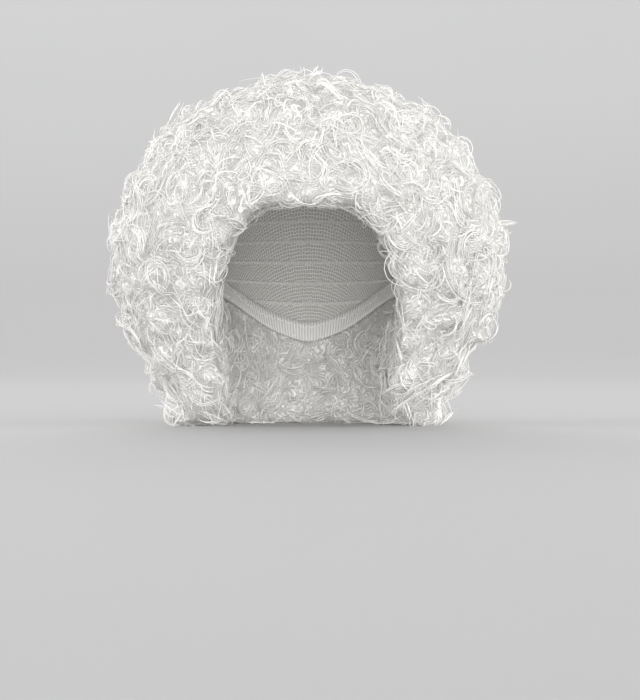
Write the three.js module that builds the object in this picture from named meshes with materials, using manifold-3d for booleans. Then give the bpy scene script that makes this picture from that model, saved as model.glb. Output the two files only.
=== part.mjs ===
// A curly clown wig in the form that it has when it is worn: a stretch cap with an elastic
// edge, and weft after weft of curled hair sewn round the cap from the crown to the nape.
// Millimetres, +Z up, the face side looks along -Y and the wearer's left is +X.
// The origin is the inside of the cap's crown, where the top of the head sits.
import * as THREE from "three";
import { mergeVertices } from "three/addons/utils/BufferGeometryUtils.js";
import Module from "manifold-3d";

// The head that the cap is cut for
const headWidth = 154;
const headLength = 194;
const crownHeight = 105; // from the head's widest level up to the crown
const napeTaper = 0.2; // share of the head's width lost between the widest level and the nape
const napeDrop = 70; // how far below the widest level the head stops narrowing

// Cap and its elastic edge
const capWall = 1.5;
const bandWidth = 16;
const bandWall = 1.6;
const clearance = 0.35; // between pieces that lie on each other

// Ball of hair
const hairHalfWidth = 167;
const ballRise = 15; // from the head's widest level up to the ball's centre
const ballSetBack = 8; // the ball's centre lies behind the head's
const hairEnd = 150; // where the hair ends below, in degrees of tilt from straight up
const seamTilt = 0.25; // half the angle left between two wefts, in degrees

// Face opening
const hairlineRise = 39; // from the head's widest level up to the hairline
const faceHeight = 190; // from the hairline to below the hair
const faceHalfWidth = 68;
const faceMargin = 6; // how far the backing stays behind the visible edge of the curls

// Curls, at the ball's widest
const curlRadius = 12.5; // from a curl's middle to the middle of its rolled lock
const lockRadius = 8; // from the middle of the lock's section to its ridge
const curlRise = 13; // how far the curls stand out of the backing
const curlTurns = 0.88; // how far round a lock is rolled
const curlVariety = 0.08; // share by which the smallest curl is smaller than the largest
const curlPitch = 40.5; // from one curl to the next along a row
const edgeSetBack = 8; // from the backing's edge to the middle of the curls along the face

// Mesh fineness
const capColumns = 26;
const capRows = 7;
const shellColumns = 20;
const shellStep = 10; // degrees of tilt
const lockSides = 3;
const lockSteps = 5;

// The cap's rim, from the forehead over the ears to the nape: depth below the crown as a
// share of crownHeight, against the turn from the front in degrees
const rim = [
  { turn: 0, drop: 0.54 },
  { turn: 30, drop: 0.58 },
  { turn: 55, drop: 0.82 },
  { turn: 75, drop: 1.12 },
  { turn: 95, drop: 1.19 },
  { turn: 120, drop: 1.24 },
  { turn: 150, drop: 1.46 },
  { turn: 180, drop: 1.57 },
];

// Reach of the ball of hair from its centre, as shares of hairHalfWidth, against the tilt
// from straight up in degrees
const ball = [
  { tilt: 0, side: 0.885, front: 0.885, back: 0.885 },
  { tilt: 25, side: 0.885, front: 0.89, back: 0.9 },
  { tilt: 45, side: 0.93, front: 0.91, back: 0.93 },
  { tilt: 65, side: 0.96, front: 0.93, back: 0.96 },
  { tilt: 80, side: 0.98, front: 0.9, back: 0.98 },
  { tilt: 95, side: 1.0, front: 0.8, back: 0.985 },
  { tilt: 112, side: 1.0, front: 0.68, back: 0.99 },
  { tilt: 130, side: 1.01, front: 0.61, back: 1.0 },
  { tilt: 142, side: 1.04, front: 0.61, back: 1.03 },
  { tilt: 150, side: 1.0, front: 0.6, back: 1.0 },
];

// Half width of the face opening as a share of faceHalfWidth, against the depth below the
// hairline as a share of faceHeight
const face = [
  { drop: 0.0, half: 0.45 },
  { drop: 0.04, half: 0.64 },
  { drop: 0.1, half: 0.78 },
  { drop: 0.2, half: 0.91 },
  { drop: 0.34, half: 0.98 },
  { drop: 0.52, half: 1.0 },
  { drop: 0.66, half: 0.94 },
  { drop: 0.78, half: 0.83 },
  { drop: 1.0, half: 0.86 },
];

// One rolled lock from its root to its tip: reach is a share of curlRadius, thick of lockRadius,
// and lift of curlRise
const lock = [
  { along: 0.0, reach: 0.95, thick: 0.4, lift: -0.4 },
  { along: 0.2, reach: 1.0, thick: 0.85, lift: 0.3 },
  { along: 0.5, reach: 0.85, thick: 1.0, lift: 0.35 },
  { along: 0.8, reach: 0.65, thick: 0.9, lift: 0.34 },
  { along: 1.0, reach: 0.5, thick: 0.6, lift: 0.34 },
];

// Wefts from the crown to the nape: the tilts of the rows of curls that a weft carries, and
// the tilts of its two edges
const wefts = [
  { name: "weft_crown", rows: [0, 14.4], top: 0, bottom: 21.5 },
  { name: "weft_top", rows: [28.7, 43.1], top: 21.5, bottom: 50.2 },
  { name: "weft_hairline", rows: [57.4, 71.8], top: 50.2, bottom: 79 },
  { name: "weft_temple", rows: [86.2, 100.5], top: 79, bottom: 107.7 },
  { name: "weft_neck", rows: [114.9, 128.5], top: 107.7, bottom: 135 },
  { name: "weft_nape", rows: [141.5], top: 135, bottom: hairEnd },
];

const wasm = await Module();
wasm.setup();
const radians = THREE.MathUtils.degToRad;
const ballCentre = new THREE.Vector3(0, ballSetBack, ballRise - crownHeight);
const hairlineTop = hairlineRise - crownHeight;

// Reads a column of a table at a place between its rows.
function read(table, key, at, column) {
  const next = table.findIndex((row) => row[key] >= at);
  if (next === 0) return table[0][column];
  if (next < 0) return table[table.length - 1][column];
  const low = table[next - 1];
  const high = table[next];
  return THREE.MathUtils.lerp(low[column], high[column], (at - low[key]) / (high[key] - low[key]));
}

// A number from 0 to 1 that looks random and is the same on every run.
function chance(seed) {
  const wave = Math.sin(seed * 127.1 + 11.7) * 43758.5453;
  return wave - Math.floor(wave);
}

// Closed geometry to a solid that can be joined and cut, with its faces turned outwards.
function solid(geometry) {
  const bare = new THREE.BufferGeometry();
  bare.setAttribute("position", geometry.getAttribute("position"));
  bare.setIndex(geometry.index);
  const merged = mergeVertices(bare, 1e-4);
  const vertProperties = merged.attributes.position.array;
  const triVerts = new Uint32Array(merged.index.array);
  const made = new wasm.Manifold(new wasm.Mesh({ numProp: 3, vertProperties, triVerts }));
  if (made.volume() > 0) return made;
  triVerts.reverse();
  return new wasm.Manifold(new wasm.Mesh({ numProp: 3, vertProperties, triVerts }));
}

// A solid back to geometry.
function geometryOf(made) {
  const mesh = made.getMesh();
  const geometry = new THREE.BufferGeometry();
  geometry.setAttribute("position", new THREE.BufferAttribute(mesh.vertProperties, 3));
  geometry.setIndex(new THREE.BufferAttribute(mesh.triVerts, 1));
  geometry.computeVertexNormals();
  return geometry;
}

// Moves each vertex of a lathe to place(turn, point), where point is its profile point.
function reshape(profile, columns, place) {
  const lathe = new THREE.LatheGeometry(profile, columns);
  const position = lathe.getAttribute("position");
  for (let i = 0; i < position.count; i++) {
    const column = Math.floor(i / profile.length) % columns;
    const moved = place((2 * Math.PI * column) / columns, profile[i % profile.length]);
    position.setXYZ(i, moved.x, moved.y, moved.z);
  }
  return lathe;
}

// Point on the head, grown outwards: turn from the front in radians, reach 0 at the crown,
// 1 at the widest level, and crown heights below it after that.
function headPoint(turn, reach, grow) {
  const tilt = (Math.min(reach, 1) * Math.PI) / 2;
  const below = Math.max(reach - 1, 0) * crownHeight;
  const taper = 1 - napeTaper * THREE.MathUtils.smoothstep(below, 0, napeDrop);
  const across = Math.sin(tilt) * taper;
  return new THREE.Vector3(
    (headWidth / 2 + grow) * across * Math.sin(turn),
    -(headLength / 2 + grow) * across * Math.cos(turn),
    (crownHeight + grow) * Math.cos(tilt) - crownHeight - below,
  );
}

// Reach of the cap's rim at a turn from the front.
function rimReach(turn) {
  const degrees = THREE.MathUtils.radToDeg(turn);
  const drop = read(rim, "turn", degrees > 180 ? 360 - degrees : degrees, "drop");
  return drop < 1 ? Math.acos(1 - drop) / (Math.PI / 2) : drop;
}

// Levels of the cap: 0 at the crown, 1 at the top of the elastic edge and 2 at the rim.
const capLevels = [];
for (let i = 0; i <= capRows; i++) capLevels.push(i / capRows);
capLevels.push(2);

// Reach of a level of the cap at a turn from the front.
function levelReach(turn, level) {
  const bandReach = bandWidth / crownHeight;
  const toBand = rimReach(turn) - bandReach;
  return level <= 1 ? level * toBand : toBand + (level - 1) * bandReach;
}

// Stretch cap: an open dome whose edge follows the rim table.
function cap() {
  const inside = capLevels.map((level) => new THREE.Vector2(level, 0));
  const outside = capLevels.map((level) => new THREE.Vector2(level, capWall)).reverse();
  return reshape([...inside, ...outside], capColumns, (turn, point) =>
    headPoint(turn, levelReach(turn, point.x), point.y));
}

// Elastic edge inside the cap's rim, a closed loop.
function edgeBand() {
  const outside = -clearance;
  const inside = -clearance - bandWall;
  const profile = [
    new THREE.Vector2(1, outside),
    new THREE.Vector2(2, outside),
    new THREE.Vector2(2, inside),
    new THREE.Vector2(1, inside),
    new THREE.Vector2(1, outside),
  ];
  return reshape(profile, capColumns, (turn, point) =>
    headPoint(turn, levelReach(turn, point.x), point.y));
}

// Room that the cap, the head and the neck take out of the hair. Up from the rim it has the
// cap's own rows, so that the two lie evenly apart.
function headRoom() {
  const grow = capWall + clearance;
  const lowest = 2.6; // reach of the room's floor, below all the hair
  const below = [0.2, 0.4, 0.6, 0.8, 1]; // shares of the way from the rim to the floor
  const profile = capLevels.map((level) => new THREE.Vector2(level, grow));
  below.forEach((share) => profile.push(new THREE.Vector2(2 + share, grow)));
  profile.push(new THREE.Vector2(0, -1)); // middle of the floor
  return reshape(profile.reverse(), capColumns, (turn, point) => {
    if (point.y < 0) return new THREE.Vector3(0, 0, -crownHeight * lowest);
    if (point.x <= 2) return headPoint(turn, levelReach(turn, point.x), point.y);
    return headPoint(turn, THREE.MathUtils.lerp(rimReach(turn), lowest, point.x - 2), point.y);
  });
}

// Reach of the ball of hair from its centre.
function ballReach(tilt, turn) {
  const side = read(ball, "tilt", tilt, "side");
  const deep = read(ball, "tilt", tilt, Math.cos(turn) > 0 ? "front" : "back");
  return hairHalfWidth / Math.hypot(Math.sin(turn) / side, Math.cos(turn) / deep);
}

// Point of the backing's outer face, by tilt in degrees and turn in radians.
function backingPoint(tilt, turn) {
  const across = Math.sin(radians(tilt));
  return new THREE.Vector3(across * Math.sin(turn), -across * Math.cos(turn), Math.cos(radians(tilt)))
    .multiplyScalar(ballReach(tilt, turn) - curlRise)
    .add(ballCentre);
}

// Frame of the backing's outer face at a place: x the way the turn rises, z outwards.
function backingFrame(tilt, turn) {
  const step = radians(1);
  const offPole = Math.max(tilt, 1);
  const aside = backingPoint(offPole, turn + step).sub(backingPoint(offPole, turn - step));
  const down = backingPoint(tilt + 1, turn).sub(backingPoint(tilt - 1, turn));
  const outwards = down.cross(aside).normalize();
  return new THREE.Matrix4()
    .makeBasis(aside.normalize(), outwards.clone().cross(aside), outwards)
    .setPosition(backingPoint(tilt, turn));
}

// Backing of one weft, from the ball's centre out, between two cones.
function backing(top, bottom) {
  const centre = new THREE.Vector2(0, 0);
  const steps = Math.ceil((bottom - top) / shellStep);
  const profile = top > 0 ? [centre] : [];
  for (let i = 0; i <= steps; i++) profile.push(new THREE.Vector2(top + ((bottom - top) * i) / steps, 1));
  profile.push(centre);
  return reshape(profile, shellColumns, (turn, point) =>
    (point.y === 0 ? ballCentre : backingPoint(point.x, turn)));
}

// Half width of the face opening at a height.
function faceHalf(z) {
  const drop = (hairlineTop - z) / faceHeight;
  return drop < 0 ? 0 : faceHalfWidth * read(face, "drop", drop, "half");
}

// What the face takes out of the backing: the opening's outline, straight through the front.
function faceRoom() {
  const left = face.map((row) => new THREE.Vector2(
    faceHalfWidth * row.half + faceMargin,
    hairlineTop + (row.drop === 0 ? faceMargin : 0) - row.drop * faceHeight,
  ));
  const right = left.map((point) => new THREE.Vector2(-point.x, point.y)).reverse();
  const outline = new THREE.Shape([...left, ...right]);
  const depth = hairHalfWidth + ballSetBack;
  return new THREE.ExtrudeGeometry(outline, { depth, bevelEnabled: false }).rotateX(Math.PI / 2);
}

// One rolled lock on the backing, wound by the lock table. root is the side of the curl on which
// the lock grows out, 0 for the way in which the turn rises.
function curl(tilt, turn, root, seed) {
  const frame = backingFrame(tilt, turn);
  const size = (ballReach(tilt, turn) / hairHalfWidth) * (1 - curlVariety * chance(seed));
  const hand = chance(seed + 0.71) > 0.5 ? 1 : -1;
  const tube = new THREE.CylinderGeometry(1, 1, 1, lockSides, lockSteps);
  const position = tube.getAttribute("position");
  for (let i = 0; i < position.count; i++) {
    const along = position.getY(i) + 0.5;
    const out = Math.hypot(position.getX(i), position.getZ(i)); // 0 in the middle of an end, 1 elsewhere
    const angle = Math.atan2(position.getX(i), position.getZ(i)) + Math.PI / 2; // a ridge outwards
    const wind = root + hand * curlTurns * 2 * Math.PI * along;
    const thick = out * size * lockRadius * read(lock, "along", along, "thick");
    const across = size * curlRadius * read(lock, "along", along, "reach") + thick * Math.cos(angle);
    const height = size * curlRise * read(lock, "along", along, "lift") + thick * Math.sin(angle);
    const local = new THREE.Vector3(across * Math.cos(wind), across * Math.sin(wind), height);
    local.applyMatrix4(frame);
    position.setXYZ(i, local.x, local.y, local.z);
  }
  return tube;
}

// Places of one row of curls, evenly spaced. A row that the face breaks starts and ends at its
// edge, with the roots of those two curls turned away from it.
function rowPlaces(tilt) {
  let edge = 0;
  while (edge < Math.PI / 2) {
    const point = backingPoint(tilt, edge);
    const below = ((curlRadius + lockRadius) * ballReach(tilt, edge)) / hairHalfWidth;
    const half = faceHalf(point.z - below);
    if (half === 0 || Math.abs(point.x) > half + faceMargin + edgeSetBack) break;
    edge += radians(1);
  }
  const round = 2 * Math.PI - 2 * edge;
  const length = round * Math.sin(radians(tilt)) * hairHalfWidth;
  const count = Math.max(1, Math.floor(length / curlPitch));
  const places = [];
  for (let i = 0; i < count; i++) {
    const turn = edge > 0 ? edge + (round * i) / (count - 1) : (round * (i + chance(tilt))) / count;
    places.push({ turn, root: 2 * Math.PI * chance(tilt + 0.37 + i) });
  }
  if (edge > 0) {
    places[0].root = 0;
    places[count - 1].root = Math.PI;
  }
  return places;
}

// One weft: its backing with its curls fused on, less the room of the head and of the face.
function weftHair(weft, room, opening) {
  const top = weft.top > 0 ? weft.top + seamTilt : 0;
  const body = solid(backing(top, weft.bottom - seamTilt)).subtract(opening);
  const locks = weft.rows.flatMap((tilt) =>
    rowPlaces(tilt).map((place, i) => solid(curl(tilt, place.turn, place.root, tilt + i))));
  return wasm.Manifold.union([body, ...locks]).subtract(room);
}

const wig = new THREE.Group();
const white = new THREE.Color(0.86, 0.855, 0.845);

// Adds a named piece to the wig.
function add(name, made, roughness) {
  const material = new THREE.MeshStandardMaterial({ color: white, roughness, metalness: 0 });
  const mesh = new THREE.Mesh(geometryOf(made), material);
  mesh.name = name;
  wig.add(mesh);
}

const room = solid(headRoom());
const opening = solid(faceRoom());
add("cap", solid(cap()), 0.9);
add("edge_band", solid(edgeBand()), 0.8);
wefts.forEach((weft) => add(weft.name, weftHair(weft, room, opening), 0.5));

export default wig;
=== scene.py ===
import math

import bmesh
import bpy
import numpy as np
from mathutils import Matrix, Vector
from mathutils.bvhtree import BVHTree


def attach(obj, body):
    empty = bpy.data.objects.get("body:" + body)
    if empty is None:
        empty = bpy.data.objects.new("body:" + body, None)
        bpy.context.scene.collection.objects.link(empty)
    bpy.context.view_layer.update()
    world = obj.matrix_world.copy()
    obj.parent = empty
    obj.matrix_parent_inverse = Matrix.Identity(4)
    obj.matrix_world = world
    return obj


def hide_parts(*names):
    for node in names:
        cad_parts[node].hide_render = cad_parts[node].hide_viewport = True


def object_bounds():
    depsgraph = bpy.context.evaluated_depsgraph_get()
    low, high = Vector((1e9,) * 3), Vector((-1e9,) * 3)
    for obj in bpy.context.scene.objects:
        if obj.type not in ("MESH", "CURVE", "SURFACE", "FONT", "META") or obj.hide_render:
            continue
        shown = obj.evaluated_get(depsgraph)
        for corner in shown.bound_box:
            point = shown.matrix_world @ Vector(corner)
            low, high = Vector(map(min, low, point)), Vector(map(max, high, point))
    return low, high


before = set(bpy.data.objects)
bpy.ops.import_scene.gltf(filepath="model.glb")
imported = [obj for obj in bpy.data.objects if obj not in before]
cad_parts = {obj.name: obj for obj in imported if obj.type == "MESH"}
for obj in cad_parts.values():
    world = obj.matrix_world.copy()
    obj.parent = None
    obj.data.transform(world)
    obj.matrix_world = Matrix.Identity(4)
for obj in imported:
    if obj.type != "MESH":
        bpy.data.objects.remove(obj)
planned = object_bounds()

# Stretch cap: the thin knitted net that sits on the head and carries all the hair.
# It is knitted in one round piece and pulled tight. Tapes sewn round it hold the hair's rows,
# and its rim is sewn to the elastic.
NET_CELL = 0.0034
YARN_EDGE = (0.08, 0.2)
TAPE_GAP = 0.0195
TAPE_WIDTH = 0.11
STITCH_STEP = 0.0036
STITCH_HALF = 0.0016
THREAD_RADIUS = 0.0004
SHARP_RIM = 0.9
WELD = 1e-5
NET_WEAVE = 900.0
THREAD_TWIST = 2500.0
THREE_SIDES = (0, math.tau / 3, 2 * math.tau / 3)
TIP_GIRTH = 0.35
TIP_LENGTHS = 6
BAND_WIDTH = 0.016
TAPES = 11
# The rim's depth below the crown, in crown heights, by the turn from the front in degrees.
RIM = np.array(
    [
        [0, 0.54],
        [30, 0.58],
        [55, 0.82],
        [75, 1.12],
        [95, 1.19],
        [120, 1.24],
        [150, 1.46],
        [180, 1.57],
    ]
)
HEAD = {
    "half_width": 0.077,
    "half_length": 0.097,
    "crown": 0.105,
    "taper": 0.2,
    "nape": 0.07,
}


def add_step(tree, kind, feeds, **settings):
    """Adds one shader step and feeds its sockets with values or other steps' outputs."""
    step = tree.nodes.new(kind)
    for name, value in settings.items():
        setattr(step, name, value)
    for socket, value in feeds.items():
        if isinstance(value, bpy.types.NodeSocket):
            tree.links.new(value, step.inputs[socket])
        else:
            step.inputs[socket].default_value = value
    return step


def new_finish(name, roughness, sheen=0.0):
    """A material with its tree, its surface shader and the object's own coordinates."""
    finish = bpy.data.materials.new(name)
    finish.use_nodes = True
    tree = finish.node_tree
    surface = tree.nodes["Principled BSDF"]
    surface.inputs["Roughness"].default_value = roughness
    surface.inputs["Sheen Weight"].default_value = sheen
    place = add_step(tree, "ShaderNodeTexCoord", {}).outputs["Object"]
    return finish, tree, surface, place


def maths(tree, operation, *values):
    """The result of one sum on values or other steps' outputs."""
    feeds = dict(enumerate(values))
    return add_step(tree, "ShaderNodeMath", feeds, operation=operation).outputs[0]


def fade(tree, value, start, end, **ends):
    """A soft change from 0 to 1, or between the ends given, as a value passes a range."""
    feeds = {"Value": value, "From Min": start, "From Max": end, **ends}
    step = add_step(tree, "ShaderNodeMapRange", feeds, interpolation_type="SMOOTHSTEP")
    return step.outputs["Result"]


def blend_colours(tree, share, low, high):
    """A colour between two, by a share from 0 to 1."""
    blend = add_step(tree, "ShaderNodeMix", {0: share}, data_type="RGBA")
    for socket, colour in ((blend.inputs[6], low), (blend.inputs[7], high)):
        if isinstance(colour, bpy.types.NodeSocket):
            tree.links.new(colour, socket)
        else:
            socket.default_value = colour
    return blend.outputs[2]


def raise_bumps(tree, surface, height, distance, strength):
    """Low relief on a surface, from a height between 0 and 1."""
    bump = add_step(
        tree,
        "ShaderNodeBump",
        {"Height": height, "Distance": distance, "Strength": strength},
    )
    tree.links.new(bump.outputs["Normal"], surface.inputs["Normal"])


def net_finish():
    """Knitted net in small cells, with painted shade in the holes between its threads, crossed by
    the plain tapes that the hair is sewn on.
    """
    finish, tree, surface, place = new_finish("cap_net", 0.75, 0.1)
    flat = add_step(tree, "ShaderNodeUVMap", {}, uv_map="flat_cap").outputs[0]
    cells = add_step(
        tree,
        "ShaderNodeTexVoronoi",
        {"Vector": flat, "Scale": 1 / NET_CELL, "Randomness": 0.4},
        feature="DISTANCE_TO_EDGE",
        voronoi_dimensions="2D",
    )
    falling = {"To Min": 1.0, "To Max": 0.0}
    thread = fade(tree, cells.outputs["Distance"], *YARN_EDGE, **falling)
    reach = add_step(tree, "ShaderNodeVectorMath", {0: flat}, operation="LENGTH")
    rows = maths(tree, "DIVIDE", reach.outputs["Value"], TAPE_GAP)
    across = maths(tree, "PINGPONG", rows, 0.5)
    tape = fade(tree, across, TAPE_WIDTH * 0.8, TAPE_WIDTH, **falling)
    cloth = maths(tree, "MAXIMUM", thread, tape)
    weave = add_step(
        tree, "ShaderNodeTexNoise", {"Vector": place, "Scale": NET_WEAVE, "Detail": 2.0}
    )
    yarn = blend_colours(
        tree, weave.outputs[0], (0.74, 0.73, 0.7, 1), (0.88, 0.87, 0.85, 1)
    )
    twill = blend_colours(
        tree, weave.outputs[0], (0.56, 0.55, 0.53, 1), (0.66, 0.65, 0.63, 1)
    )
    # Painted shade: the holes between the threads get a dark grey, for the shade in the net's
    # recesses.
    knit = blend_colours(tree, thread, (0.46, 0.45, 0.43, 1), yarn)
    colour = blend_colours(tree, tape, knit, twill)
    tree.links.new(colour, surface.inputs["Base Color"])
    height = maths(tree, "MULTIPLY_ADD", tape, 0.6, cloth)
    raise_bumps(tree, surface, height, 0.0005, 0.9)
    return finish


def placed(name, data):
    """An object in the scene, at the origin, from its mesh, lamp or camera."""
    piece = bpy.data.objects.new(name, data)
    bpy.context.scene.collection.objects.link(piece)
    return piece


def finished(shape, name):
    """The mesh of a finished shape."""
    mesh = bpy.data.meshes.new(name)
    shape.to_mesh(mesh)
    shape.free()
    return mesh


def shade_smooth(mesh):
    mesh.polygons.foreach_set("use_smooth", [True] * len(mesh.polygons))


def merged_copy(name, *nodes):
    """A piece with a welded copy of the nodes' meshes, which start as loose triangles."""
    shape = bmesh.new()
    for node in nodes:
        shape.from_mesh(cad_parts[node].data)
    bmesh.ops.remove_doubles(shape, verts=shape.verts, dist=WELD)
    return placed(name, finished(shape, name))


def knit_smooth(piece, levels):
    """Rounds a faceted wall and keeps its rims sharp."""
    shape = bmesh.new()
    shape.from_mesh(piece.data)
    bmesh.ops.join_triangles(
        shape,
        faces=shape.faces,
        angle_face_threshold=0.7,
        angle_shape_threshold=1.2,
    )
    crease = shape.edges.layers.float.new("crease_edge")
    for edge in shape.edges:
        if edge.calc_face_angle(0) > SHARP_RIM:
            edge[crease] = 1.0
    shape.to_mesh(piece.data)
    shape.free()
    rounding = piece.modifiers.new("rounding", "SUBSURF")
    rounding.levels = rounding.render_levels = levels
    shade_smooth(piece.data)


def applied(piece):
    """Gives a piece the mesh that its modifiers make, and clears them."""
    seen = piece.evaluated_get(bpy.context.evaluated_depsgraph_get())
    mesh = bpy.data.meshes.new_from_object(seen)
    piece.modifiers.clear()
    piece.data = mesh
    shade_smooth(mesh)
    return mesh


def thread_finish():
    """Sewing thread: plain white, with the faint stripe of its twist."""
    finish, tree, surface, place = new_finish("sewing_thread", 0.6, 0.1)
    twist = add_step(tree, "ShaderNodeTexNoise", {"Vector": place, "Scale": THREAD_TWIST})
    colour = blend_colours(
        tree, twist.outputs[0], (0.93, 0.925, 0.91, 1), (0.99, 0.985, 0.97, 1)
    )
    tree.links.new(colour, surface.inputs["Base Color"])
    return finish


def unit(vectors):
    return vectors / np.linalg.norm(vectors, axis=-1, keepdims=True)


def thread_tubes(name, path, axis, radius, finish):
    """Closed three-sided tubes along many paths, thinner at both ends, as one mesh."""
    count, rings = path.shape[:2]
    along = np.gradient(path, axis=1)
    first = unit(np.cross(axis[:, None], along))
    second = unit(np.cross(along, first))
    s = np.linspace(0, 1, rings)
    girth = np.clip(TIP_LENGTHS * np.minimum(s, 1 - s), TIP_GIRTH, 1)
    girth = radius * girth[None, :, None]
    sides = [
        path + girth * (first * math.cos(a) + second * math.sin(a))
        for a in THREE_SIDES
    ]
    points = np.stack(sides, axis=2).reshape(-1, 3)
    base = np.arange(count)[:, None, None] * rings * 3
    ring = np.arange(rings - 1)[None, :, None] * 3
    corner = np.arange(3)[None, None, :]
    low = base + ring + corner
    low_next = base + ring + (corner + 1) % 3
    quads = np.stack([low, low_next, low_next + 3, low + 3], axis=-1).reshape(-1, 4)
    start = np.arange(count)[:, None] * rings * 3
    ends = np.concatenate([start + [[2, 1, 0]], start + (rings - 1) * 3 + [[0, 1, 2]]])
    mesh = bpy.data.meshes.new(name)
    mesh.vertices.add(len(points))
    mesh.vertices.foreach_set("co", points.ravel())
    mesh.loops.add(quads.size + ends.size)
    mesh.loops.foreach_set("vertex_index", np.concatenate([quads.ravel(), ends.ravel()]))
    mesh.polygons.add(len(quads) + len(ends))
    starts = [np.arange(len(quads)) * 4, quads.size + np.arange(len(ends)) * 3]
    mesh.polygons.foreach_set("loop_start", np.concatenate(starts))
    mesh.update(calc_edges=True)
    shade_smooth(mesh)
    mesh.materials.append(finish)
    return placed(name, mesh)


def rim_height(points):
    """Height of the cap's rim on the side of the head where each point is."""
    turn = np.degrees(np.arctan2(np.abs(points[..., 0]), -points[..., 1]))
    return -HEAD["crown"] * np.interp(turn, RIM[:, 0], RIM[:, 1])


def zigzag(wall, seams, name, above_rim):
    """Stitches from side to side of each seam, laid on a wall's inside above its rim.
    A seam is a list of pairs, one for each stitch hole: where to look from, and which way."""
    inside = BVHTree.FromObject(wall, bpy.context.evaluated_depsgraph_get())
    holes, facing = [], []
    for seam in seams:
        found = [inside.ray_cast(start, way) for start, way in seam]
        for one, two in zip(found, found[1:]):
            if one[0] is None or two[0] is None:
                continue
            if min(one[0].z, two[0].z) < rim_height(np.array(one[0])) + above_rim:
                continue
            if (one[0] - two[0]).length > 4 * STITCH_HALF:
                continue
            lift = (one[1] + two[1]).normalized() * THREAD_RADIUS
            middle = (one[0] + two[0]) / 2 + lift * 1.8
            holes.append([one[0] + lift * 0.8, middle, two[0] + lift * 0.8])
            facing.append(one[1])
    return thread_tubes(
        name, np.array(holes), np.array(facing), THREAD_RADIUS, sewing_thread
    )


net_cap = merged_copy("net_cap", "cap")
knit_smooth(net_cap, 2)
applied(net_cap)
crown_middle = Vector((0, 0, -HEAD["crown"]))
flat_cap = net_cap.data.uv_layers.new(name="flat_cap")
for corner in net_cap.data.loops:
    away = net_cap.data.vertices[corner.vertex_index].co - crown_middle
    reach = HEAD["crown"] * math.atan2(math.hypot(away.x, away.y), away.z)
    turn = math.atan2(away.x, away.y)
    flat_cap.data[corner.index].uv = (reach * math.sin(turn), reach * math.cos(turn))
net_cap.data.materials.append(net_finish())
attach(net_cap, "root")
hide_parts("cap")

sewing_thread = thread_finish()
tape_seams = []
for row in range(1, TAPES + 1):
    tilt = row * TAPE_GAP / HEAD["crown"]
    holes = int(math.tau * HEAD["crown"] * math.sin(tilt) / STITCH_STEP)
    seam = []
    for hole in range(holes + 1):
        turn = math.tau * hole / holes
        lean = tilt + (STITCH_HALF if hole % 2 else -STITCH_HALF) / HEAD["crown"]
        way = (
            math.sin(lean) * math.sin(turn),
            math.sin(lean) * math.cos(turn),
            math.cos(lean),
        )
        seam.append((crown_middle, Vector(way)))
    tape_seams.append(seam)
cap_stitches = zigzag(net_cap, tape_seams, "cap_stitches", BAND_WIDTH)
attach(cap_stitches, "root")

# Elastic edge: a woven elastic band sewn inside the cap's rim, which grips the head.
# Its ribs run across the band, and two rows of thread hold it to the net.
RIBS_ROUND = 210
BAND_SEAMS = (0.16, 0.84)
BAND_HOLES = 150
# The ribs' own colour on top, and the darker painted shade between the ribs.
RIB_TOP_AND_GROOVE_SHADE = ((0.58, 0.57, 0.55, 1), (0.84, 0.83, 0.81, 1))


def elastic_finish():
    """Woven elastic: straight ribs across the band, lighter on top, with painted shade between
    them.
    """
    finish, tree, surface, place = new_finish("edge_elastic", 0.7, 0.15)
    split = add_step(tree, "ShaderNodeSeparateXYZ", {"Vector": place}).outputs
    turn = maths(tree, "ARCTAN2", split["X"], split["Y"])
    rib = maths(tree, "SINE", maths(tree, "MULTIPLY", turn, float(RIBS_ROUND)))
    height = maths(tree, "MULTIPLY_ADD", rib, 0.5, 0.5)
    # Painted shade: the band darkens between the ribs, by the ribs' height.
    colour = blend_colours(tree, height, *RIB_TOP_AND_GROOVE_SHADE)
    tree.links.new(colour, surface.inputs["Base Color"])
    raise_bumps(tree, surface, height, 0.0005, 0.8)
    return finish


elastic_band = merged_copy("elastic_band", "edge_band")
knit_smooth(elastic_band, 2)
elastic_band.data.materials.append(elastic_finish())
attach(elastic_band, "root")
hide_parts("edge_band")

band_seams = []
for share in BAND_SEAMS:
    seam = []
    for hole in range(BAND_HOLES + 1):
        turn = math.tau * hole / BAND_HOLES
        way = Vector((math.sin(turn), -math.cos(turn), 0))
        height = rim_height(np.array(way)) + BAND_WIDTH * share
        height += STITCH_HALF if hole % 2 else -STITCH_HALF
        seam.append((Vector((0, 0, height)), way))
    band_seams.append(seam)
band_stitches = zigzag(elastic_band, band_seams, "band_stitches", 0)
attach(band_stitches, "root")

# Wefts: rows of curled fibre on a thread backing, sewn round the cap from the crown down.
# Each piece is one weft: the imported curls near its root, and the single fibres that lie on them.
WEFTS = ("crown", "top", "hairline", "temple", "neck", "nape")
# Where each weft ends, in degrees down from the top, seen from the ball's centre.
WEFT_ENDS = (0.0, 21.5, 50.2, 79.0, 107.7, 135.0, 180.0)
HALF_SEAM = 0.02
CUT_ANGLE = 0.9
PACKED_GRAIN = 0.004
PACKED_ROUNDS = 15
SKIN_ROUNDS = 6
LOW_CURLS = -0.19
LOW_STRETCH = 0.3
LOWEST = -0.2312
PRESSED = 0.88
BALL_CENTRE = (0.0, 0.008, -0.09)
CUTTER_REACH = 0.3
CUTTER_SIDES = 72
LOCK_CELLS = (0.027, 0.019)
FIBRE_PITCHES = (0.0021, 0.0011)


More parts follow.
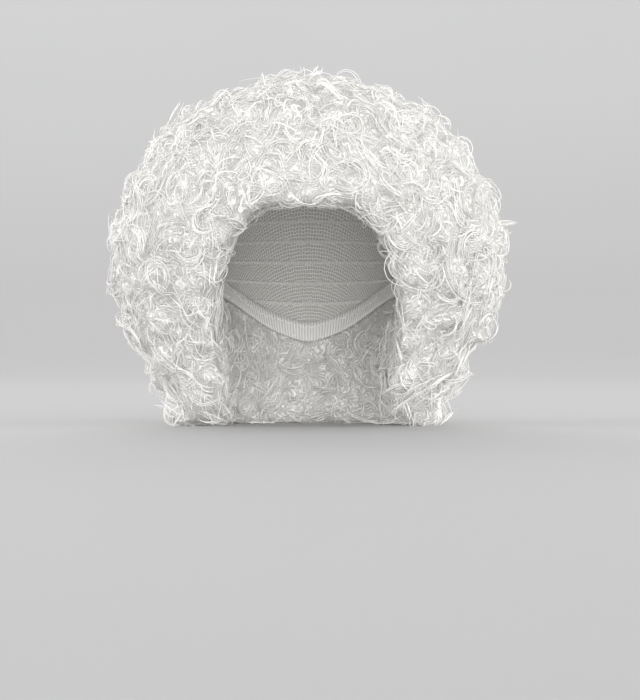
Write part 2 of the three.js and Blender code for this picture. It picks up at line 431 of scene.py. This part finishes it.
def fibre_rings(tree, place, cell, pitch, drift_scale, offset):
    """Thin bright rings of fibre round scattered centres, bent by a slow drift."""
    drift = add_step(
        tree,
        "ShaderNodeTexNoise",
        {"Vector": place, "Scale": drift_scale, "Detail": 2.0},
    )
    moved = add_step(
        tree,
        "ShaderNodeVectorMath",
        {0: drift.outputs["Color"], 1: (offset, offset, offset), 2: place},
        operation="MULTIPLY_ADD",
    )
    centres = add_step(
        tree,
        "ShaderNodeTexVoronoi",
        {"Vector": moved.outputs[0], "Scale": 1 / cell},
        feature="F1",
    )
    rings = maths(
        tree, "MULTIPLY", centres.outputs["Distance"], math.tau * cell / pitch
    )
    lifted = maths(tree, "MULTIPLY_ADD", maths(tree, "SINE", rings), 0.5, 0.5)
    return maths(tree, "POWER", lifted, 2.0)


def fill_finish():
    """Packed curls: fine fibres in crossing rings, lighter on top, with painted shade in the gaps
    between them.
    """
    finish, tree, surface, place = new_finish("curl_fill", 0.8, 0.1)
    wide = fibre_rings(tree, place, LOCK_CELLS[0], FIBRE_PITCHES[0], 45.0, 0.03)
    narrow = fibre_rings(tree, place, LOCK_CELLS[1], FIBRE_PITCHES[1], 80.0, 0.02)
    crossing = maths(tree, "MAXIMUM", wide, narrow)
    patches = add_step(
        tree, "ShaderNodeTexNoise", {"Vector": place, "Scale": 90.0, "Detail": 3.0}
    )
    # Painted shade: the gaps between the rings are darker and the rings' tops lighter, by the same
    # pattern as the relief.
    lit = maths(tree, "MULTIPLY_ADD", crossing, 0.75, -0.06)
    patched = maths(tree, "MULTIPLY_ADD", patches.outputs[0], 0.5, lit)
    colour = blend_colours(
        tree, patched, (0.66, 0.645, 0.62, 1), (0.9, 0.89, 0.87, 1)
    )
    tree.links.new(colour, surface.inputs["Base Color"])
    raise_bumps(tree, surface, crossing, 0.0012, 0.9)
    return finish


def fibre_finish():
    """Single fibres: smooth white plastic thread, each a little lighter or darker, with painted
    shade where they lie deep in the ball.
    """
    finish, tree, surface, _ = new_finish("curl_fibre", 0.48, 0.1)
    shade = add_step(tree, "ShaderNodeAttribute", {}, attribute_name="shade")
    colour = blend_colours(
        tree, shade.outputs["Fac"], (0.74, 0.725, 0.7, 1), (0.94, 0.93, 0.91, 1)
    )
    tree.links.new(colour, surface.inputs["Base Color"])
    return finish


curl_fill = fill_finish()
curl_fibre = fibre_finish()


def softened(piece, rounds):
    """Evens out a piece's skin, by more the more rounds it gets."""
    soften = piece.modifiers.new("soften", "SMOOTH")
    soften.factor = 0.5
    soften.iterations = rounds
    return applied(piece)


def read_rows(items, name, kind=float):
    """One property of all vertices or triangles, in rows of three."""
    values = np.empty(len(items) * 3, dtype=kind)
    items.foreach_get(name, values)
    return values.reshape(-1, 3)


def row_cutter(low, high):
    """The space between two cones round the ball's centre, where one weft's curls lie."""
    shape = bmesh.new()
    steps = np.radians(np.linspace(low, high, 4))
    points = [(0, 0, 0)] + [
        (CUTTER_REACH * math.sin(tilt), 0, CUTTER_REACH * math.cos(tilt))
        for tilt in steps
    ]
    ring = [shape.verts.new(point) for point in points]
    lines = [shape.edges.new(pair) for pair in zip(ring, ring[1:] + ring[:1])]
    if low == 0 or high == 180:
        closing = [line for line in lines if all(abs(v.co.x) < WELD for v in line.verts)]
        for line in closing:
            shape.edges.remove(line)
            lines.remove(line)
    bmesh.ops.spin(
        shape,
        geom=ring + lines,
        axis=(0, 0, 1),
        cent=(0, 0, 0),
        steps=CUTTER_SIDES,
        angle=math.tau,
        use_merge=True,
    )
    bmesh.ops.remove_doubles(shape, verts=shape.verts, dist=WELD)
    bmesh.ops.recalc_face_normals(shape, faces=shape.faces)
    bmesh.ops.translate(shape, vec=BALL_CENTRE, verts=shape.verts)
    return placed("cutter", finished(shape, "cutter"))


haystack = merged_copy("haystack", *("weft_" + row for row in WEFTS))
melt = haystack.modifiers.new("melt", "REMESH")
melt.mode = "VOXEL"
melt.voxel_size = PACKED_GRAIN
packed = softened(haystack, PACKED_ROUNDS)
# The melt shortens the lowest curls, so they are drawn down again,
# and pressed flat where they rest.
points = read_rows(packed.vertices, "co")
points[:, 2] += np.minimum(points[:, 2] - LOW_CURLS, 0) * LOW_STRETCH
points[:, 2] -= np.minimum(points[:, 2] - LOWEST, 0) * PRESSED
packed.vertices.foreach_set("co", points.ravel())
packed.update()
weft_bodies = {}
for row, low, high in zip(WEFTS, WEFT_ENDS, WEFT_ENDS[1:]):
    body = placed("curls_" + row, packed.copy())
    cutter = row_cutter(
        low + HALF_SEAM * (low > 0), high - HALF_SEAM * (high < 180)
    )
    cut = body.modifiers.new("cut", "BOOLEAN")
    cut.operation = "INTERSECT"
    cut.solver = "EXACT"
    cut.object = cutter
    applied(body).set_sharp_from_angle(angle=CUT_ANGLE)
    bpy.data.objects.remove(cutter)
    body.data.materials.clear()
    body.data.materials.append(curl_fill)
    weft_bodies[row] = body

# The softened haystack shows where the fibres lie, and is then thrown away.
skin = softened(haystack, SKIN_ROUNDS)
skin.calc_loop_triangles()
corners = read_rows(skin.vertices, "co")
triangles = read_rows(skin.loop_triangles, "vertices", np.int32)
normals = read_rows(skin.vertices, "normal")
bpy.data.objects.remove(haystack)

# Fibres: long crimped plastic threads, curled in rings and teased out so that they cross.
# They lie in small bundles, some flat on the ball and some on edge, and a few stand loose.
FIBRE_RADII = {"rings": 0.00034, "swept": 0.00025, "loose": 0.0003}
LIGHTNESS = {"rings": 0.8, "swept": 0.56, "loose": 0.85}
CAP_WALL = 0.0015
LONGEST = 0.06
OUTSIDE = 0.006
LOWEST_FIBRE = -0.2325
SMALLEST_RING = 0.004
BALL_RADIUS = 0.16
TRIED = {"nests": 9000, "swept": 1750, "loose": 1150}
FIBRES = {"rings": 5400, "swept": 11000, "loose": 2000}
NEST_GAP = 0.0165
NEST_RADII = (0.009, 0.0155)
SWEPT_RADII = (0.013, 0.032)
LOOP_RADII = (0.008, 0.014)
STRAY_SHARE = 0.15
STRAY_REACH = 2.5
BY_CAP = 0.98
BY_NECK = 0.76
# A small tuft of two spikes at the right: root, tip and number of fibres.
SPIKES = (
    ((0.147, 0.0, -0.071), (0.1655, 0.0, -0.0686), 16),
    ((0.147, 0.0, -0.078), (0.162, 0.0, -0.0765), 10),
)
# The face opening's half width at each height.
FACE = np.array(
    [
        [-0.064, 0.030],
        [-0.066, 0.034],
        [-0.081, 0.050],
        [-0.092, 0.056],
        [-0.104, 0.062],
        [-0.119, 0.066],
        [-0.133, 0.068],
        [-0.150, 0.069],
        [-0.174, 0.069],
        [-0.192, 0.066],
        [-0.211, 0.058],
        [-0.24, 0.056],
    ]
)
chance = np.random.default_rng(41)


def in_head(points, share):
    """True where a point is inside the head's room."""
    level = points[..., 2] + HEAD["crown"]
    girth = 1 - HEAD["taper"] * np.clip(-level / HEAD["nape"], 0, 1)
    across = points[..., 0] / (HEAD["half_width"] + CAP_WALL) / girth
    along = points[..., 1] / (HEAD["half_length"] + CAP_WALL) / girth
    above = np.maximum(level, 0) / (HEAD["crown"] + CAP_WALL)
    return across**2 + along**2 + above**2 < share


def in_face(points, margin):
    """True where a point is in front of the face opening, by more than a margin."""
    half = np.interp(-points[..., 2], -FACE[:, 0], FACE[:, 1])
    half = np.where(points[..., 2] > FACE[0, 0], 0, half)
    return (np.abs(points[..., 0]) < half - margin) & (points[..., 1] < 0.0)


def scatter(count):
    """Even random places on the haystack, with their normals, away from the cap's side."""
    a, b, c = (corners[triangles[:, k]] for k in range(3))
    size = np.linalg.norm(np.cross(b - a, c - a), axis=1)
    middle = (a + b + c) / 3
    size[in_head(middle, 1.2) & (middle[:, 2] > rim_height(middle) + 0.004)] = 0
    pick = chance.choice(len(size), count, p=size / size.sum())
    s, t = chance.random((2, count, 1))
    s, t = np.where(s + t > 1, 1 - s, s), np.where(s + t > 1, 1 - t, t)
    place = a[pick] + (b - a)[pick] * s + (c - a)[pick] * t
    na, nb, nc = (normals[triangles[pick, k]] for k in range(3))
    normal = unit(na + (nb - na) * s + (nc - na) * t)
    radial = unit(place - np.array(BALL_CENTRE))
    outside = np.sum(normal * radial, axis=1, keepdims=True) > 0.4
    return place, unit(normal + np.where(outside, 1.5, 0) * radial)


def spaced(places, gap):
    """Picks places that keep a gap from each other."""
    kept = []
    for i, place in enumerate(places):
        if not kept or np.min(np.sum((places[kept] - place) ** 2, axis=1)) > gap * gap:
            kept.append(i)
    return np.array(kept)


def ring_axes(normal, tilt):
    """Two axes of each ring's plane and its own axis, turned at random and tilted off the normal.
    On a ring that stands on edge, the first axis points away from the ball."""
    across = unit(np.cross(normal, unit(chance.normal(size=normal.shape))))
    along = np.cross(normal, across)
    axis = unit(normal * np.cos(tilt)[:, None] + across * np.sin(tilt)[:, None])
    flat = unit(np.cross(axis, along))
    return flat, np.cross(axis, flat), axis


def curl_paths(place, normal, tilt, radius, kind):
    """Paths of bundles of fibres, one bundle at each place, and how high each point lies."""
    bundles, each = len(place), kind["each"]
    flat, side, axis = ring_axes(normal, tilt)
    sweep = chance.uniform(*kind["turn"], bundles)
    start = chance.uniform(0, math.tau, bundles)
    if kind["standing"]:
        start = -sweep / 2 + chance.normal(0, 0.35, bundles)
    flips = chance.random(bundles) < kind["flips"]
    flip_at = np.where(flips, chance.uniform(0.3, 0.7, bundles), 2.0)
    hand = np.where(chance.random(bundles) < 0.5, -1.0, 1.0)
    rise = chance.uniform(-kind["rise"], kind["rise"], bundles)
    top = chance.uniform(*kind["top"], bundles)

    of = np.repeat(np.arange(bundles), each)
    count = len(of)
    stray = np.where(chance.random(count) < STRAY_SHARE, STRAY_REACH, 1.0)
    apart = chance.normal(0, kind["apart"], count) * stray
    r = np.maximum(radius[of] + apart, SMALLEST_RING)
    begin = start[of] + chance.normal(0, kind["ragged"], count) * stray
    swept = np.minimum(sweep[of] * chance.uniform(0.75, 1.15, count), LONGEST / r)
    s = np.linspace(0, 1, kind["steps"] + 1)
    middle = (s[1:] + s[:-1]) / 2
    sign = np.tanh((flip_at[of][:, None] - middle) / 0.06)
    tighten = 1 + chance.normal(0, 0.15, count)[:, None] * (middle - 0.5)
    bend = (swept / kind["steps"])[:, None] * sign * tighten
    heading = begin[:, None] + math.pi / 2 + np.cumsum(bend, axis=1) - bend / 2
    step = (swept * r / kind["steps"])[:, None]
    here = np.zeros((count, 1))
    x, y = (
        np.concatenate([here, np.cumsum(turn(heading) * step, axis=1)], axis=1)
        for turn in (np.cos, np.sin)
    )
    x += (r * np.cos(begin))[:, None]
    y += (r * np.sin(begin))[:, None]
    if kind["centred"]:
        x -= np.repeat(x.reshape(bundles, -1).mean(axis=1), each)[:, None]
        y -= np.repeat(y.reshape(bundles, -1).mean(axis=1), each)[:, None]
    y *= hand[of][:, None]
    wobble = chance.normal(0, 0.0005, count)[:, None] * np.sin(
        s * chance.uniform(4, 12, count)[:, None] + chance.uniform(0, 6, count)[:, None]
    )
    z = (rise[of] + chance.normal(0, 0.001, count))[:, None] * (s - 0.5) + wobble
    z += (chance.normal(0, 0.0007, count) * stray)[:, None]
    n = normal[of]
    path = x[..., None] * flat[of][:, None] + y[..., None] * side[of][:, None]
    path += z[..., None] * axis[of][:, None]
    out = np.einsum("ijk,ik->ij", path, n)
    drop = -(np.sum(path**2, axis=2) - out**2) / (2 * BALL_RADIUS)
    lift = top[of] + chance.normal(0, 0.0006, count) - (out + drop).max(axis=1)
    height = out + lift[:, None]
    path += (drop + lift[:, None])[..., None] * n[:, None] + place[of][:, None]
    return path, axis[of], height


def clear_of_wearer(path, axis, height, wanted):
    """Leaves out the fibres that would cross the face or the head, or hang too low."""
    margin = chance.uniform(-0.002, 0.005, (len(path), 1))
    share = np.where(path[..., 2] > rim_height(path) - 0.001, BY_CAP, BY_NECK)
    clear = ~(in_face(path, margin) | in_head(path, share)).any(axis=1)
    room = np.array(planned) + [[-OUTSIDE], [OUTSIDE]]
    clear &= ((path > room[0]) & (path < room[1])).all(axis=(1, 2))
    clear &= path[..., 2].min(axis=1) > LOWEST_FIBRE
    kept = np.flatnonzero(clear)
    kept = np.sort(chance.permutation(kept)[:wanted])
    return path[kept], axis[kept], height[kept]


CURL_RINGS = {
    "each": 5,
    "steps": 9,
    "turn": (2.6, 5.4),
    "flips": 0.2,
    "rise": 0.005,
    "top": (-0.0035, 0.004),
    "apart": 0.0013,
    "ragged": 0.3,
    "standing": False,
    "centred": False,
}
SWEPT_LOCKS = {
    "each": 8,
    "steps": 6,
    "turn": (0.9, 1.9),
    "flips": 0.35,
    "rise": 0.003,
    "top": (-0.002, 0.0025),
    "apart": 0.003,
    "ragged": 0.12,
    "standing": False,
    "centred": True,
}
LOOSE_LOOPS = {
    "each": 2,
    "steps": 9,
    "turn": (2.6, 4.4),
    "flips": 0.0,
    "rise": 0.005,
    "top": (0.001, 0.0085),
    "apart": 0.001,
    "ragged": 0.2,
    "standing": True,
    "centred": False,
}


def tuft(root, tip, count):
    """Fibres that start apart in the ball and run together to one point outside it."""
    s = np.linspace(0, 1, LOOSE_LOOPS["steps"] + 1)[:, None]
    starts = root + chance.normal(0, (0.0015, 0.006, 0.003), (count, 3))
    ends = tip + chance.normal(0, (0.0012, 0.001, 0.0006), (count, 3))
    path = starts[:, None] * (1 - s) + ends[:, None] * s
    path[..., 2] += chance.uniform(-0.002, 0.004, (count, 1)) * np.sin(math.pi * s[:, 0])
    return path, np.tile([0.0, 1.0, 0.0], (count, 1)), np.full(path.shape[:2], 0.004)


places, outward = scatter(TRIED["nests"])
kept = spaced(places, NEST_GAP)
nests, nest_outward = places[kept], outward[kept]
nest_tilt = np.abs(chance.normal(0, 0.4, len(nests)))
nest_radius = chance.uniform(*NEST_RADII, len(nests))
in_nest = np.repeat(np.arange(len(nests)), 2)
rings = curl_paths(
    nests[in_nest] + chance.normal(0, 0.0015, (len(in_nest), 3)),
    nest_outward[in_nest],
    nest_tilt[in_nest] + chance.normal(0, 0.12, len(in_nest)),
    nest_radius[in_nest] * chance.uniform(0.75, 1.1, len(in_nest)),
    CURL_RINGS,
)
places, outward = scatter(TRIED["swept"])
swept = curl_paths(
    places,
    outward,
    chance.normal(0, 0.18, len(places)),
    chance.uniform(*SWEPT_RADII, len(places)),
    SWEPT_LOCKS,
)
places, outward = scatter(TRIED["loose"])
loops = curl_paths(
    places,
    outward,
    chance.uniform(0.9, 1.57, len(places)),
    chance.uniform(*LOOP_RADII, len(places)),
    LOOSE_LOOPS,
)
spikes = [tuft(*spike) for spike in SPIKES]
loops = [np.concatenate(parts) for parts in zip(loops, *spikes)]
families = {
    "rings": clear_of_wearer(*rings, FIBRES["rings"]),
    "swept": clear_of_wearer(*swept, FIBRES["swept"]),
    "loose": clear_of_wearer(*loops, FIBRES["loose"]),
}
for family, (paths, axes, heights) in families.items():
    own = chance.normal(LIGHTNESS[family], 0.16, (len(paths), 1))
    # Each fibre's own tone, with painted shade on points that lie deep in the ball and painted
    # light on points that stand out from it.
    tone_and_depth_shade = np.clip(own + np.clip(heights / 0.012, -0.5, 0.2), 0, 1)
    away = paths.mean(axis=1) - np.array(BALL_CENTRE)
    lean = np.degrees(np.arccos(away[:, 2] / np.linalg.norm(away, axis=1)))
    row_of = np.searchsorted(WEFT_ENDS[1:-1], lean)
    for number, row in enumerate(WEFTS):
        mine = row_of == number
        fibres = thread_tubes(
            f"{family}_{row}", paths[mine], axes[mine], FIBRE_RADII[family], curl_fibre
        )
        tone = fibres.data.attributes.new("shade", "FLOAT", "POINT")
        tone.data.foreach_set("value", np.repeat(tone_and_depth_shade[mine].ravel(), 3))
        if family == "swept":
            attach(fibres, "root")
            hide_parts("weft_" + row)
            continue
        body = weft_bodies[row]
        with bpy.context.temp_override(
            active_object=body, selected_editable_objects=[body, fibres]
        ):
            bpy.ops.object.join()
for row, body in weft_bodies.items():
    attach(body, "root")
    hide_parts("weft_" + row)

# Studio: a pale round sweep, a wide soft light from the front, and weaker ones from the sides
# and the back. The camera stands level, at a height in the lower half of the face opening.
FLOOR = -0.2308
FLAT_REACH = 2.6
RISE_REACH = 1.7
RISE = 1.15
SWEEP_SIDES = 64
WALL_FADE = (2.5, 4.4)
SOFTNESS = math.radians(55)
ROOM_LIGHT = 0.82
LENS = 128.57
SENSOR = 36
EYE = (0.0096, -2.0, -0.17)


def sweep_finish():
    """Matt paper, a little darker where it rises behind, so that the wall matches the floor."""
    finish, tree, surface, place = new_finish("pale_sweep", 0.9)
    reach = add_step(tree, "ShaderNodeVectorMath", {0: place}, operation="LENGTH")
    far = fade(tree, reach.outputs["Value"], *WALL_FADE)
    grain = add_step(tree, "ShaderNodeTexNoise", {"Vector": place, "Scale": 3.0})
    near_tone = blend_colours(
        tree, grain.outputs[0], (0.45, 0.45, 0.451, 1), (0.46, 0.46, 0.461, 1)
    )
    far_tone = blend_colours(
        tree, grain.outputs[0], (0.37, 0.37, 0.371, 1), (0.38, 0.38, 0.381, 1)
    )
    colour = blend_colours(tree, far, near_tone, far_tone)
    tree.links.new(colour, surface.inputs["Base Color"])
    return finish


def turned(name, profile):
    """A round sheet, from points that give its radius and height."""
    shape = bmesh.new()
    line = [shape.verts.new((reach, 0, height)) for reach, height in profile]
    edges = [shape.edges.new(pair) for pair in zip(line, line[1:])]
    bmesh.ops.spin(
        shape,
        geom=line + edges,
        axis=(0, 0, 1),
        cent=(0, 0, 0),
        steps=SWEEP_SIDES,
        angle=math.tau,
        use_merge=True,
    )
    bmesh.ops.remove_doubles(shape, verts=shape.verts, dist=WELD)
    bmesh.ops.recalc_face_normals(shape, faces=shape.faces)
    mesh = finished(shape, name)
    shade_smooth(mesh)
    mesh.materials.append(pale_sweep)
    piece = placed(name, mesh)
    return piece


pale_sweep = sweep_finish()
sweep = turned(
    "sweep",
    [(0, FLOOR)]
    + [
        (
            FLAT_REACH + RISE_REACH * math.sin(bend),
            FLOOR + RISE * (1 - math.cos(bend)),
        )
        for bend in np.linspace(0, math.pi / 2, 17)
    ],
)
sweep.visible_shadow = False


def shine(name, direction, power):
    """A wide soft light, so far off that it falls evenly, from a direction."""
    lamp = bpy.data.lights.new(name, "SUN")
    lamp.angle = SOFTNESS
    lamp.energy = power
    holder = placed(name, lamp)
    holder.rotation_euler = Vector(direction).to_track_quat("Z", "Y").to_euler()


shine("front_light", (0.1, -1.0, 0.1), 2.25)
shine("left_light", (-0.95, -0.25, 0.05), 1.75)
shine("right_light", (0.95, -0.25, 0.05), 1.8)
shine("back_light", (-0.1, 1.0, 0.12), 1.8)
world = bpy.data.worlds.new("studio")
bpy.context.scene.world = world
world.use_nodes = True
backdrop = world.node_tree.nodes["Background"].inputs
backdrop["Color"].default_value = (1, 1, 1, 1)
backdrop["Strength"].default_value = ROOM_LIGHT
bpy.context.scene.view_settings.view_transform = "Standard"

camera = bpy.data.cameras.new("camera")
camera.lens = LENS
camera.sensor_width = SENSOR
viewer = placed("camera", camera)
viewer.location = EYE
viewer.rotation_euler = (math.pi / 2, 0, 0)
bpy.context.scene.camera = viewer
